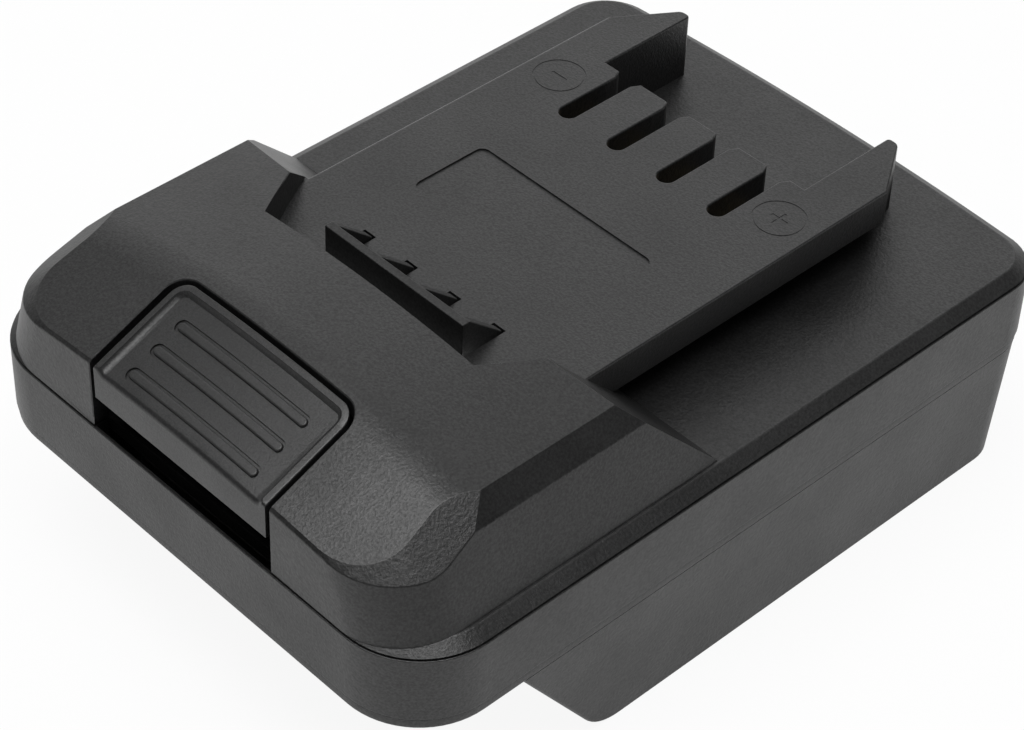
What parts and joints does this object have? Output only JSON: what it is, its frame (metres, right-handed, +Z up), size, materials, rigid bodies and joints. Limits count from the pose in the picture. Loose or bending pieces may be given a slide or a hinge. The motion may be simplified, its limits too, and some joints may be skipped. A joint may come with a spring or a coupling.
{
  "type": "tool battery adapter",
  "caption": "Slide-on tool battery adapter: drafted battery bay below, tool rail with contact slots above, and a dished release button that lowers a latch tooth.",
  "frame": {"origin": "bottom centre of the case, on the plane of the skirts' feet", "axes": "+X across the case, +Y along it away from the release button, +Z up through the tool rail"},
  "size_m": [0.079, 0.1086, 0.0471],
  "materials": {
    "case_plastic": "fine spark-grained moulded plastic",
    "button_plastic": "smooth matte moulded plastic",
    "spring_steel": "drawn wire",
    "terminal_plastic": "matte",
    "contact_brass": "stamped strip",
    "board_laminate": "solder mask",
    "resistor_coat": "dipped coat",
    "black_sleeve": "satin",
    "red_sleeve": "satin",
    "yellow_sleeve": "satin",
    "screw_steel": "blackened"
  },
  "bodies": {
    "case": {"upper_cover": "case_plastic", "middle_frame": "case_plastic", "bottom_shell": "case_plastic", "latch_spring_left": "spring_steel", "latch_spring_right": "spring_steel", "tool_terminal_holder": "terminal_plastic", "contact_negative": "contact_brass", "contact_thermal": "contact_brass", "contact_data": "contact_brass", "contact_positive": "contact_brass", "battery_terminal_block": "terminal_plastic", "blade_negative": "contact_brass", "blade_signal": "contact_brass", "blade_positive": "contact_brass", "circuit_board": "board_laminate", "id_resistor": "resistor_coat", "wire_negative": "black_sleeve", "wire_positive": "red_sleeve", "wire_signal": "yellow_sleeve", "case_screws": "screw_steel", "block_screws": "screw_steel", "board_screws": "screw_steel"},
    "latch": {"release_button": "button_plastic", "latch_slide": "button_plastic"}
  },
  "joints": [
    {"name": "latch_press", "type": "slide", "parent": "case", "child": "latch", "axis": [0, 0, 1], "range_m": [-0.0042, 0], "stiffness_N_per_m": 600, "springref_m": 0.003, "deforming": ["latch_spring_left", "latch_spring_right"]}
  ]
}
